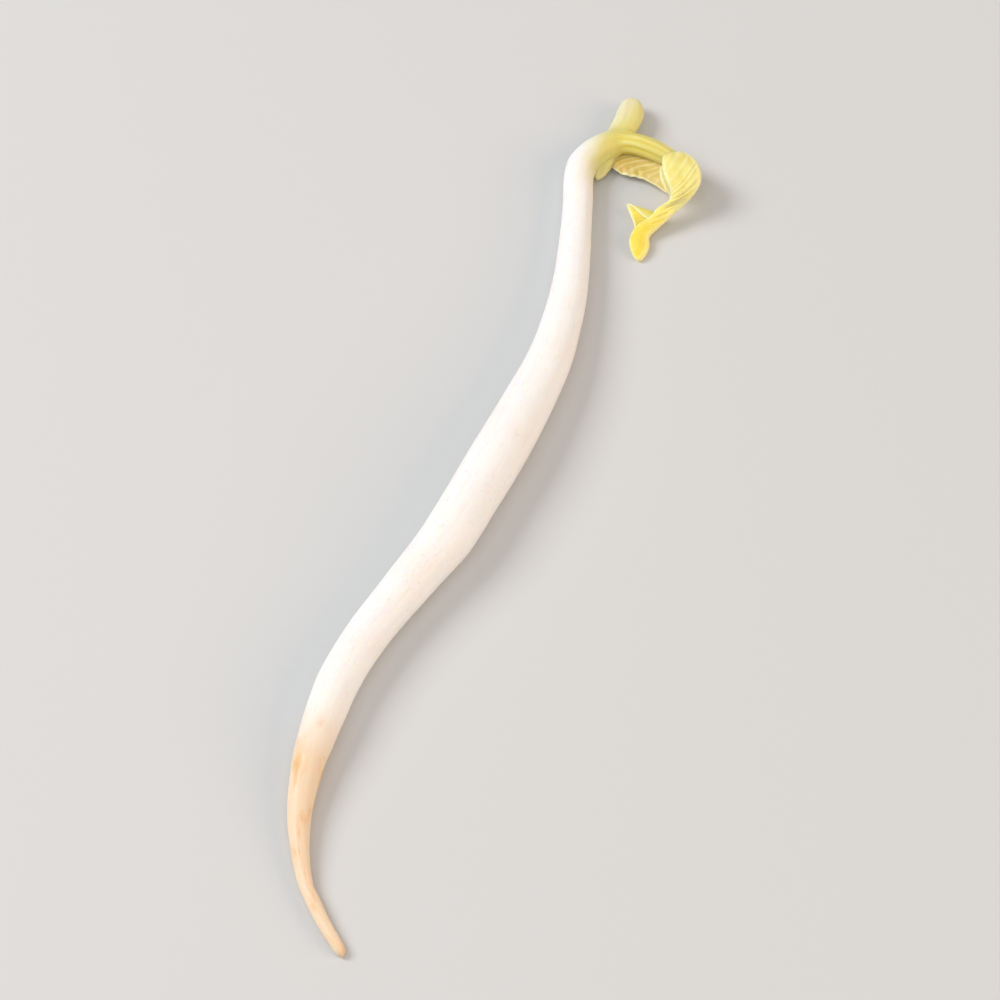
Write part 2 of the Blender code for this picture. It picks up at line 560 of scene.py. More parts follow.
@dataclass(frozen=True)
class Course:
    """A smooth run of numbers through given stations."""

    stations: Stations

    def at(self, t: np.ndarray) -> np.ndarray:
        """Read the course.

        Args:
            t: places along it, from 0 to 1.

        Returns:
            One row of the course's numbers for each place, on a Catmull-Rom spline.
        """
        points = np.array(self.stations, float)
        spans = len(points) - 1
        padded = np.vstack([2 * points[0] - points[1], points, 2 * points[-1] - points[-2]])
        reach = np.clip(t, 0.0, 1.0) * spans
        span = np.minimum(reach.astype(int), spans - 1)
        u = (reach - span)[:, None]
        before, start, end, after = (padded[span + step] for step in range(4))
        return (
            (2 * u**3 - 3 * u**2 + 1) * start
            + (u**3 - 2 * u**2 + u) * (end - before) / 2
            + (3 * u**2 - 2 * u**3) * end
            + (u**3 - u**2) * (after - start) / 2
        )


@dataclass(frozen=True)
class Limb:
    """The flesh of one organ: an oval section that follows a course.

    The course's numbers are x, y, height, half width and half depth.
    """

    course: Course
    samples: int = 160
    chunk: int = 4000

    def sections(self, t: np.ndarray) -> dict[str, np.ndarray]:
        """Cut the limb across.

        Args:
            t: places along it, from 0 to 1.

        Returns:
            The centre, the three unit directions and the half sizes of the section at each place.
        """
        values = self.course.at(t)
        step = 0.5 / self.samples
        along = unit(self.course.at(t + step)[:, :3] - self.course.at(t - step)[:, :3])
        across = unit(np.cross(along, UP))
        return {
            "centre": values[:, :3],
            "along": along,
            "across": across,
            "square": np.cross(across, along),
            "width": values[:, 3],
            "depth": values[:, 4],
        }

    @cached_property
    def cuts(self) -> dict[str, np.ndarray]:
        """The sections at the limb's samples."""
        return self.sections(np.linspace(0.0, 1.0, self.samples))

    def measure(self, points: np.ndarray) -> tuple[np.ndarray, np.ndarray]:
        """Measure points against the limb, a chunk of them at a time.

        Args:
            points: rows of plan points.

        Returns:
            The distance to the limb's surface, negative inside, and the direction in which it grows.
        """
        starts = range(0, len(points), self.chunk)
        parts = [self._measure_chunk(points[start : start + self.chunk]) for start in starts]
        return np.concatenate([part[0] for part in parts]), np.concatenate([part[1] for part in parts])

    def _measure_chunk(self, points: np.ndarray) -> tuple[np.ndarray, np.ndarray]:
        """Measure a few points against the limb, each at the sample that is nearest to it.

        Args:
            points: rows of plan points.

        Returns:
            The distance to the limb's surface, and the direction in which it grows.
        """
        cut = self.cuts
        gaps = sum((points[:, None, axis] - cut["centre"][None, :, axis]) ** 2 for axis in range(3))
        pick = gaps.argmin(1)
        offset = points - cut["centre"][pick]
        sizes = (cut["width"][pick], cut["depth"][pick], np.minimum(cut["width"], cut["depth"])[pick])
        axes = (cut["across"][pick], cut["square"][pick], cut["along"][pick])
        reaches = [(offset * axis).sum(1) / size for axis, size in zip(axes, sizes)]
        reach = np.sqrt(sum(part**2 for part in reaches))
        slope = sum(axis * (part / size)[:, None] for axis, part, size in zip(axes, reaches, sizes))
        return np.linalg.norm(offset, axis=1) * (1.0 - 1.0 / np.maximum(reach, TINY)), unit(slope)


@dataclass(frozen=True)
class Flesh:
    """All the limbs together, with soft hollows where they meet.

    The welding fades out where a skin lies deeper than "buried" under another. A skin that another one
    covers dips under it, by "dip" at the most. "softness" is how far one limb's tint runs into the next.
    """

    limbs: dict[str, Limb]
    hollow: float = 0.55
    buried: float = 0.40
    buried_fade: float = 0.3
    dip: float = 0.12
    dip_slope: float = 0.5
    softness: float = 0.30
    rounds: int = 6
    stride: float = 0.12
    least_slope: float = 0.3

    def merged(self, points: np.ndarray) -> tuple[np.ndarray, np.ndarray]:
        """Measure points against all the flesh, with its hollows filled.

        Args:
            points: rows of plan points.

        Returns:
            The distance to the common skin, and its slope.
        """
        total, slope = None, None
        for limb in self.limbs.values():
            row, rise = limb.measure(points)
            if total is None:
                total, slope = row, rise
                continue
            share = np.clip(0.5 + 0.5 * (row - total) / self.hollow, 0.0, 1.0)
            total = row + (total - row) * share - self.hollow * share * (1.0 - share)
            slope = rise + (slope - rise) * share[:, None]
        return total, slope

    def shares(self, points: np.ndarray) -> dict[str, np.ndarray]:
        """Share points out among the limbs.

        Args:
            points: rows of plan points.

        Returns:
            How much of each point each limb owns, 1 in all.
        """
        rows = {name: limb.measure(points)[0] for name, limb in self.limbs.items()}
        nearest = np.min(list(rows.values()), axis=0)
        weights = {name: np.exp(-(row - nearest) / self.softness) for name, row in rows.items()}
        total = sum(weights.values())
        return {name: weight / total for name, weight in weights.items()}

    def weld(self, organ: str, points: np.ndarray) -> np.ndarray:
        """Draw an organ's skin onto the skin of all the flesh where it nears the others.

        Where another limb owns the surface, the skin dips just under that limb's skin instead.

        Args:
            organ: the name of the skin's own limb.
            points: the skin's plan points.

        Returns:
            The moved points.
        """
        own_limb = self.limbs[organ]
        others = [limb for name, limb in self.limbs.items() if name != organ]
        rival = np.min([limb.measure(points)[0] for limb in others], axis=0)
        near = np.flatnonzero((rival < self.hollow) & (rival > -self.buried))
        if not len(near):
            return points
        start = points[near]
        skin = start.copy()
        relief = own_limb.measure(start)[0]
        for _ in range(self.rounds):
            total, slope = self.merged(skin)
            steep = np.maximum((slope**2).sum(1), self.least_slope)
            skin = skin - slope * np.clip((total - relief) / steep, -self.stride, self.stride)[:, None]
        own = own_limb.measure(skin)[0]
        beside = np.min([limb.measure(skin)[0] for limb in others], axis=0)
        skin = skin - unit(slope) * np.clip(self.dip_slope * (own - beside), 0.0, self.dip)[:, None]
        strength = smooth_step(rival[near], -self.buried, -self.buried_fade * self.buried)[:, None]
        moved = points.copy()
        moved[near] = start + (skin - start) * strength
        return moved


def new_object(name: str, data: bpy.types.ID) -> bpy.types.Object:
    """Add an object to the scene, at the origin.

    Args:
        name: its name.
        data: its mesh, curve, lamp or camera.

    Returns:
        The object.
    """
    thing = bpy.data.objects.new(name, data)
    bpy.context.scene.collection.objects.link(thing)
    return thing


def new_mesh_object(name: str, points: np.ndarray, faces: list[tuple[int, ...]]) -> bpy.types.Object:
    """Make a smooth-shaded mesh object in the frame.

    Args:
        name: the object's name.
        points: plan points of the vertices.
        faces: the vertices of each face.

    Returns:
        The object, with its place in its mesh.
    """
    mesh = bpy.data.meshes.new(name)
    mesh.from_pydata(PLAN.to_frame(points).tolist(), [], faces)
    mesh.shade_smooth()
    return new_object(name, mesh)


def write_attribute(mesh: bpy.types.Mesh, name: str, values: np.ndarray) -> None:
    """Store one number, or one vector, for each vertex.

    Args:
        mesh: the mesh.
        name: the attribute's name.
        values: a number or a row for each vertex.
    """
    kind, part = ("FLOAT_VECTOR", "vector") if values.ndim == 2 else ("FLOAT", "value")
    layer = mesh.attributes.new(name, kind, "POINT")
    layer.data.foreach_set(part, np.ascontiguousarray(values, np.float32).ravel())


def mesh_points(mesh: bpy.types.Mesh) -> np.ndarray:
    """Read a mesh's vertices.

    Args:
        mesh: the mesh.

    Returns:
        The vertices as plan points.
    """
    places = np.empty(len(mesh.vertices) * 3)
    mesh.vertices.foreach_get("co", places)
    return PLAN.from_frame(places.reshape(-1, 3))


def move_points(mesh: bpy.types.Mesh, points: np.ndarray) -> None:
    """Put a mesh's vertices at plan points, none of them under the ground.

    Args:
        mesh: the mesh.
        points: the plan points.
    """
    points = points.copy()
    points[:, 2] = np.maximum(points[:, 2], 0.0)
    mesh.vertices.foreach_set("co", PLAN.to_frame(points).ravel())
    mesh.update()


@dataclass(frozen=True)
class Loft:
    """A closed skin through rings of points, with a pole at each end."""

    rings: np.ndarray

    def points(self) -> np.ndarray:
        """The rings' points in order, then the two poles."""
        return np.vstack([self.rings.reshape(-1, 3), self.rings[0].mean(0), self.rings[-1].mean(0)])

    def faces(self, first: int = 0) -> list[tuple[int, ...]]:
        """The skin's faces, outward.

        Args:
            first: the index of the first ring's first point.

        Returns:
            Each face's vertices.
        """
        rows, columns = self.rings.shape[:2]
        index = np.arange(rows * columns).reshape(rows, columns)
        beside = np.roll(index, -1, axis=1)
        quads = np.stack([index[:-1], beside[:-1], beside[1:], index[1:]], -1).reshape(-1, 4)
        start_pole, end_pole = rows * columns, rows * columns + 1
        caps = [(start_pole, b, a) for a, b in zip(index[0], beside[0])]
        caps += [(end_pole, a, b) for a, b in zip(index[-1], beside[-1])]
        faces = [tuple(quad) for quad in quads.tolist()] + [tuple(map(int, cap)) for cap in caps]
        points = self.points()
        corners = points[quads] - points.mean(0)
        volume = (np.cross(corners[:, 0], corners[:, 1]) * corners[:, 2]).sum()
        volume += (np.cross(corners[:, 0], corners[:, 2]) * corners[:, 3]).sum()
        if volume < 0:
            faces = [face[::-1] for face in faces]
        return [tuple(first + corner for corner in face) for face in faces]

    def spread(self, values: np.ndarray) -> np.ndarray:
        """Values of the rings' points, with the poles' values added as the end rings' means."""
        flat = values.reshape(-1, *values.shape[2:])
        return np.concatenate([flat, values[0].mean(0)[None], values[-1].mean(0)[None]])


# --- The skin that grows round a curve -------------------------------------------------------------------


@dataclass(frozen=True)
class StemSkin:
    """How the axis's skin is cut, and what stands out on it. The shoot has deep ribs, the rest faint ones.

    The skin's tree has an input for each of these sizes.
    """

    ring_gap: float = 0.08
    segments: int = 88
    rib_count: float = 7.0
    rib_depth: float = 0.010
    rib_sway: float = 1.8
    shoot_rib_depth: float = 0.055
    shoot_rib_end: float = 4.9
    shoot_rib_fade: float = 1.6
    lump_depth: float = 0.055
    lump_width: float = 1.4
    lump_length: float = 3.2


class StemTree:
    """The Geometry Nodes tree that grows a ribbed skin round a curve."""

    SOCKETS = {float: "NodeSocketFloat", int: "NodeSocketInt"}
    SWAY = Clouds((0.8, 0.8, 0.14))
    RIB_STRENGTH = Clouds((2.0, 2.0, 0.2))
    RIB_STRENGTHENS = Layer(0.30, 0.65, 0.55)
    LEAST_STRENGTH = 0.45
    CREST, VALLEY = 2.0, 1.2
    LUMPS = Clouds(detail=1.0)

    def __init__(self, name: str) -> None:
        """Build the tree with its named inputs.

        Args:
            name: the tree's name.
        """
        self.group = bpy.data.node_groups.new(name, "GeometryNodeTree")
        face = self.group.interface
        face.new_socket("Geometry", in_out="INPUT", socket_type="NodeSocketGeometry")
        for size in fields(StemSkin):
            face.new_socket(self.title(size.name), in_out="INPUT", socket_type=self.SOCKETS[size.type])
        face.new_socket("Material", in_out="INPUT", socket_type="NodeSocketMaterial")
        face.new_socket("Geometry", in_out="OUTPUT", socket_type="NodeSocketGeometry")
        self.tree = Tree(self.group)
        self.inputs = self.tree.node("NodeGroupInput")
        self._finish(self._raise(self._sweep()))

    @staticmethod
    def title(size: str) -> str:
        """A size's name as it stands on the tree's input."""
        return size.replace("_", " ").title()

    def _size(self, name: str) -> Number:
        """One of the skin's sizes, from the tree's input."""
        return self.tree.number(self.inputs, self.title(name))

    def _geometry(self, kind: str, sockets: dict, settings: dict | None = None) -> bpy.types.NodeSocket:
        """The geometry that comes out of a new node."""
        return self.tree.node(kind, settings, sockets).outputs[0]

    def _store(self, geometry: object, name: str, kind: str, value: object) -> bpy.types.NodeSocket:
        """Store a named attribute on a geometry's points.

        Args:
            geometry: the geometry's socket.
            name: the attribute's name.
            kind: its data type.
            value: its value or socket.

        Returns:
            The socket of the geometry that has it.
        """
        sockets = {"Geometry": geometry, "Name": name, "Value": value}
        settings = {"data_type": kind, "domain": "POINT"}
        return self._geometry("GeometryNodeStoreNamedAttribute", sockets, settings)

    def _read(self, name: str) -> Number:
        """Read a named number."""
        settings = {"data_type": "FLOAT"}
        return self.tree.number(self.tree.node("GeometryNodeInputNamedAttribute", settings, {"Name": name}))

    def _sweep(self) -> bpy.types.NodeSocket:
        """Sweep a circle of the course's radius along it.

        Returns:
            The skin, which knows how far along and around each of its points is.
        """
        spine = self.tree.node("GeometryNodeSplineParameter")
        sockets = {"Curve": self.inputs.outputs["Geometry"], "Length": self._size("ring_gap") * MM}
        path = self._geometry("GeometryNodeResampleCurve", sockets, {"mode": "LENGTH"})
        path = self._geometry("GeometryNodeSetCurveNormal", {"Curve": path}, {"mode": "Z_UP"})
        path = self._store(path, "along", "FLOAT", spine.outputs["Length"])
        sockets = {"Resolution": self._size("segments"), "Radius": MM}
        profile = self._geometry("GeometryNodeCurvePrimitiveCircle", sockets, {"mode": "RADIUS"})
        profile = self._store(profile, "around", "FLOAT", spine.outputs["Factor"])
        radius = self.tree.node("GeometryNodeInputRadius").outputs["Radius"]
        sockets = {"Curve": path, "Profile Curve": profile, "Scale": radius, "Fill Caps": True}
        return self._geometry("GeometryNodeCurveToMesh", sockets)

    def _raise(self, mesh: bpy.types.NodeSocket) -> bpy.types.NodeSocket:
        """Lift rounded ribs and slow lumps out of the skin.

        Args:
            mesh: the plain skin.

        Returns:
            The skin with its ribs and lumps.
        """
        tree = self.tree
        along = self._read("along") * (1.0 / MM)
        angle = self._read("around") * (2 * math.pi)
        fibre = tree.combined(angle.cosine(), angle.sine(), along)
        skin = self._store(mesh, "fibre", "FLOAT_VECTOR", fibre)

        sway = (self.SWAY.read(tree, fibre) - 0.5) * self._size("rib_sway")
        strength = self.LEAST_STRENGTH + self.RIB_STRENGTHENS.over(self.RIB_STRENGTH.read(tree, fibre))
        wave = (angle * self._size("rib_count") * 0.5 + sway).sine()
        ribs = (abs(wave) * self.CREST - self.VALLEY) * strength
        end = self._size("shoot_rib_end")
        on_shoot = 1.0 - along.ramped(end - self._size("shoot_rib_fade"), end)
        skin = self._store(skin, "relief", "FLOAT", ribs * on_shoot)
        on_stem = 1.0 - on_shoot
        depth = self._size("rib_depth") * on_stem + self._size("shoot_rib_depth") * on_shoot

        width = self._size("lump_width")
        size = tree.combined(width, width, self._size("lump_length"))
        lumps = (self.LUMPS.read(tree, tree.vector_math("DIVIDE", fibre, size)) - 0.5) * 2.0
        rise = (ribs * depth + lumps * self._size("lump_depth") * on_stem) * MM
        normal = tree.node("GeometryNodeInputNormal").outputs["Normal"]
        push = tree.vector_math("MULTIPLY", normal, tree.combined(rise, rise, rise))
        return self._geometry("GeometryNodeSetPosition", {"Geometry": skin, "Offset": push})

    def _finish(self, mesh: bpy.types.NodeSocket) -> None:
        """Smooth the skin, make it real and dress it.

        Args:
            mesh: the skin.
        """
        smooth = self._geometry("GeometryNodeSetShadeSmooth", {"Geometry": mesh})
        real = self._geometry("GeometryNodeRealizeInstances", {"Geometry": smooth})
        sockets = {"Geometry": real, "Material": self.inputs.outputs["Material"]}
        dressed = self._geometry("GeometryNodeSetMaterial", sockets)
        self.tree.node("NodeGroupOutput", {}, {"Geometry": dressed})

    def grow(
        self, name: str, values: np.ndarray, skin: StemSkin, material: bpy.types.Material
    ) -> bpy.types.Object:
        """Grow a skin round a course.

        Args:
            name: the piece's name.
            values: the course's points, each x, y, height and radius.
            skin: the skin's sizes.
            material: the skin's finish.

        Returns:
            The skin as a plain mesh object.
        """
        curve = bpy.data.curves.new(name, "CURVE")
        curve.dimensions = "3D"
        spline = curve.splines.new("POLY")
        spline.points.add(len(values) - 1)
        places = np.column_stack([PLAN.to_frame(values[:, :3]), np.ones(len(values))])
        spline.points.foreach_set("co", places.ravel())
        spline.points.foreach_set("radius", values[:, 3])
        holder = new_object(name + "_course", curve)
        modifier = holder.modifiers.new("skin", "NODES")
        modifier.node_group = self.group
        given = {self.title(size.name): getattr(skin, size.name) for size in fields(skin)}
        given["Material"] = material
        for item in self.group.interface.items_tree:
            if item.in_out == "INPUT" and item.name in given:
                modifier[item.identifier] = given[item.name]
        graph = bpy.context.evaluated_depsgraph_get()
        mesh = bpy.data.meshes.new_from_object(holder.evaluated_get(graph))
        bpy.data.objects.remove(holder, do_unlink=True)
        mesh.name = name
        return new_object(name, mesh)


# --- The sprout's flesh ----------------------------------------------------------------------------------

AXIS_STATIONS = (
    (9.42, 18.14, 1.52, 0.05),
    (9.32, 18.24, 1.52, 0.36),
    (8.98, 18.52, 1.54, 0.58),
    (8.40, 18.92, 1.54, 0.66),
    (7.75, 19.34, 1.50, 0.69),
    (7.05, 19.74, 1.38, 0.71),
    (6.46, 20.04, 1.20, 0.73),
    (5.94, 20.19, 1.04, 0.77),
    (5.45, 20.21, 0.96, 0.83),
    (5.00, 20.14, 0.95, 0.90),
    (4.52, 19.95, 0.95, 0.95),
    (3.96, 19.57, 0.96, 0.96),
    (3.40, 18.98, 0.97, 0.97),
    (2.98, 18.20, 1.00, 1.00),
    (2.77, 16.90, 1.01, 1.01),
    (2.71, 15.00, 1.02, 1.02),
    (2.54, 12.40, 1.07, 1.07),
    (2.20, 8.40, 1.20, 1.20),
    (1.57, 4.80, 1.36, 1.36),
    (0.56, 1.12, 1.53, 1.53),
    (-0.85, -2.38, 1.69, 1.69),
    (-2.48, -5.90, 1.80, 1.80),
    (-4.16, -9.30, 1.78, 1.78),
    (-5.88, -12.70, 1.76, 1.76),
    (-7.90, -15.60, 1.59, 1.59),
    (-9.83, -18.35, 1.48, 1.48),
    (-11.55, -21.10, 1.43, 1.43),
    (-12.92, -23.90, 1.39, 1.39),
    (-13.84, -26.60, 1.30, 1.30),
    (-14.38, -28.40, 1.19, 1.19),
    (-14.84, -30.20, 1.06, 1.06),
    (-15.28, -33.10, 0.84, 0.84),
    (-15.28, -35.60, 0.66, 0.66),
    (-15.07, -37.60, 0.53, 0.53),
    (-14.80, -38.90, 0.465, 0.465),
    (-14.64, -39.35, 0.455, 0.455),
    (-14.45, -39.80, 0.465, 0.465),
    (-13.98, -40.90, 0.45, 0.45),
    (-13.40, -42.10, 0.41, 0.41),
    (-12.86, -43.10, 0.38, 0.38),
    (-12.62, -43.54, 0.33, 0.33),
    (-12.53, -43.74, 0.23, 0.23),
    (-12.48, -43.86, 0.04, 0.04),
)

COTYLEDON_UPPER_STATIONS = (
    (5.00, 20.20, 0.92, 0.62, 0.52),
    (5.56, 21.05, 0.98, 0.80, 0.56),
    (6.08, 21.96, 1.04, 0.91, 0.60),
    (6.37, 22.80, 1.06, 0.92, 0.58),
    (6.46, 23.50, 1.02, 0.74, 0.48),
    (6.55, 23.92, 0.96, 0.46, 0.30),
    (6.60, 24.10, 0.93, 0.06, 0.05),
)

COTYLEDON_LOWER_STATIONS = (
    (5.05, 19.90, 0.80, 0.40, 0.40),
    (4.86, 19.25, 0.66, 0.44, 0.36),
    (4.62, 18.62, 0.58, 0.43, 0.32),
    (4.34, 18.08, 0.52, 0.35, 0.27),
    (4.10, 17.68, 0.48, 0.20, 0.16),
    (4.02, 17.54, 0.46, 0.05, 0.04),
)


@dataclass(frozen=True)
class Anatomy:
    """Where the fleshy organs run and how their tissue changes colour.

    The shoot, the stem and the root are one unbroken axis of round sections. The seed leaves are limbs of
    their own. The axis turns green towards the head, across the crook, and the shoot pales towards its
    end. A seed leaf is whiter towards its lit side, a painted highlight, and greener away from it. The tan
    starts at the root's collar.
    """

    axis: Limb = Limb(Course(tuple((*station, station[-1]) for station in AXIS_STATIONS)), samples=900)
    cotyledon_upper: Limb = Limb(Course(COTYLEDON_UPPER_STATIONS))
    cotyledon_lower: Limb = Limb(Course(COTYLEDON_LOWER_STATIONS))
    axis_green: float = 0.95
    green_across: Pair = (0.94, -0.22)
    green_reach: Pair = (-1.8, 1.3)
    green_below: Pair = (15.6, 18.6)
    shoot_pales: Pair = (6.4, 9.2)
    shoot_paleness: float = 0.27
    # A seed leaf's green, lowest on its lit side, where the whiter tint is a painted highlight.
    seed_leaf_green: Pair = (0.33, 0.53)
    seed_leaf_middle: Pair = (6.02, 22.3)
    seed_leaf_across: Pair = (0.86, -0.50)
    seed_leaf_reach: Pair = (-0.7, 0.7)
    withered_green: float = 0.50
    collar: Triple = (-13.90, -26.85, 1.3)
    root_heading: Triple = (-0.29, -0.957, 0.0)
    tan_reach: Pair = (-2.8, 4.6)

    @cached_property
    def flesh(self) -> Flesh:
        """The limbs, joined."""
        names = ("axis", "cotyledon_upper", "cotyledon_lower")
        return Flesh({name: getattr(self, name) for name in names})

    def tint(self, mesh: bpy.types.Mesh) -> None:
        """Write how green and how tan the skin is at each of its vertices.

        Args:
            mesh: the skin.
        """
        points = mesh_points(mesh)
        shares = self.flesh.shares(points)
        crook = smooth_step(points[:, :2] @ np.array(self.green_across), *self.green_reach)
        crook = crook * smooth_step(points[:, 1], *self.green_below)
        pale = self.shoot_paleness * smooth_step(points[:, 0], *self.shoot_pales)
        # Painted highlight: the seed leaf whitens towards its lit side and turns greener away from it.
        from_highlight = (points[:, :2] - np.array(self.seed_leaf_middle)) @ np.array(self.seed_leaf_across)
        least, most = self.seed_leaf_green
        greens = {
            "axis": crook * (self.axis_green - pale),
            "cotyledon_upper": least + (most - least) * smooth_step(from_highlight, *self.seed_leaf_reach),
            "cotyledon_lower": self.withered_green,
        }
        past = (points - np.array(self.collar)) @ np.array(self.root_heading)
        write_attribute(mesh, "green", sum(shares[name] * value for name, value in greens.items()))
        write_attribute(mesh, "tan", smooth_step(past, *self.tan_reach))


def adopt(piece: bpy.types.Object, slot: Slot, *nodes: str) -> bpy.types.Object:
    """Hang a finished piece on the root body, and hide the nodes that it takes the place of.

    Args:
        piece: the piece.
        slot: the record's material slot for the piece; not used.
        nodes: the nodes' names.

    Returns:
        The piece.
    """
    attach(piece, ROOT_BODY)
    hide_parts(*nodes)
    return piece


@dataclass(frozen=True)
class Axis:
    """Shoot, stem and root. They grew as one, so one unbroken skin stands for all three."""

    anatomy: Anatomy
    finish: FleshFinish
    name: str = "axis"
    slot: Slot = Slot.STEM
    nodes: tuple[str, ...] = ("epicotyl", "hypocotyl", "taproot")
    skin: StemSkin = StemSkin()
    samples: int = 3000

    def build(self) -> bpy.types.Object:
        """Grow the skin along the axis, weld it to the seed leaves and tint it.

        Returns:
            The finished piece.
        """
        name = self.name + "_skin"
        values = self.anatomy.axis.course.at(np.linspace(0.0, 1.0, self.samples))
        piece = StemTree(name).grow(name, values[:, :4], self.skin, self.finish.make())
        move_points(piece.data, self.anatomy.flesh.weld(self.name, mesh_points(piece.data)))
        self.anatomy.tint(piece.data)
        return adopt(piece, self.slot, *self.nodes)


@dataclass(frozen=True)
class SeedLeaf:
    """A cotyledon: a thick tongue with a faint groove and a wrinkled skin, welded to the axis.

    Each ripple has so many waves round the tongue, and turns by so much along it. The skin is smooth where
    the section is smaller than "smooth_size" says.
    """

    name: str
    anatomy: Anatomy
    finish: FleshFinish
    slot: Slot = Slot.SEED_LEAF
    rings: int = 150
    segments: int = 96
    groove: float = 0.07
    groove_width: float = 0.28
    wrinkle: float = 0.016
    ripples: tuple[Pair, Pair, Pair] = ((7.0, 9.0), (3.0, -17.0), (11.0, -5.0))
    fine_ripple: float = 0.6
    smooth_size: Pair = (0.05, 0.35)
    ripple_relief: float = 0.4
    fibre_length: float = 4.0
    seed: float = 0.0

    def build(self) -> bpy.types.Object:
        """Loft the tongue through its sections, weld it and tint it.

        Returns:
            The finished piece.
        """
        t = np.linspace(0.0, 1.0, self.rings)
        turn = np.linspace(0.0, 2 * math.pi, self.segments, endpoint=False)
        cut = getattr(self.anatomy, self.name).sections(t)
        t = t[:, None]
        face, side = np.cos(turn), np.sin(turn)
        dent = np.exp(-((face / self.groove_width) ** 2)) * (side > 0) * np.sin(math.pi * t)
        first, second, fine = (waves * turn + climb * t for waves, climb in self.ripples)
        ripple = np.sin(first + self.seed) * np.sin(second) + self.fine_ripple * np.sin(fine)
        size = np.minimum(cut["width"], cut["depth"])
        lift = self.wrinkle * ripple - self.groove * dent
        lift = lift * smooth_step(size, *self.smooth_size)[:, None]
        across = cut["across"][:, None] * ((cut["width"][:, None] + lift) * face)[..., None]
        square = cut["square"][:, None] * ((cut["depth"][:, None] + lift) * side)[..., None]
        loft = Loft(cut["centre"][:, None] + across + square)
        piece = new_mesh_object(self.name + "_skin", loft.points(), loft.faces())
        move_points(piece.data, self.anatomy.flesh.weld(self.name, mesh_points(piece.data)))
        piece.data.materials.append(self.finish.make())
        fibre = np.stack(np.broadcast_arrays(face, side, self.fibre_length * t + self.seed), -1)
        write_attribute(piece.data, "fibre", loft.spread(fibre))
        write_attribute(piece.data, "relief", loft.spread(ripple * self.ripple_relief - dent))
        self.anatomy.tint(piece.data)
        return adopt(piece, self.slot, self.name)


# --- The leaves ------------------------------------------------------------------------------------------


